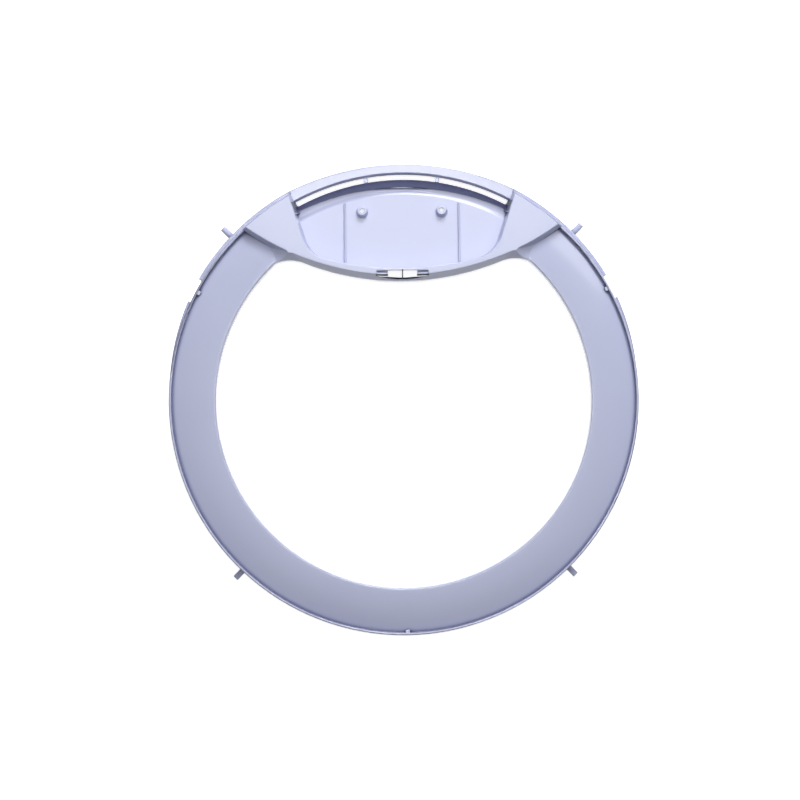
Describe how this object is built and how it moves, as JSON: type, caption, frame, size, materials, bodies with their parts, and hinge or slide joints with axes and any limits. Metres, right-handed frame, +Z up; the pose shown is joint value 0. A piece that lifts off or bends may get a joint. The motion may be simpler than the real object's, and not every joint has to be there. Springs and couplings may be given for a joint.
{
  "type": "washing machine tub cover",
  "caption": "Moulded ring that closes the gap between drum and cabinet of a top-loading washer, with a raised lens-shaped pocket and drain slots at the rear.",
  "frame": {"origin": "on the ring's axis, in the plane of the lower edge of the outer wall", "axes": "+Z up out of the machine, +Y from the ring's axis to the raised lens at the rear, +X to the right seen from the front"},
  "size_m": [0.55, 0.55, 0.0497],
  "materials": {
    "lavender_plastic": "satin moulded polypropylene"
  },
  "bodies": {
    "root": {"tub_cover": "lavender_plastic"}
  },
  "joints": []
}
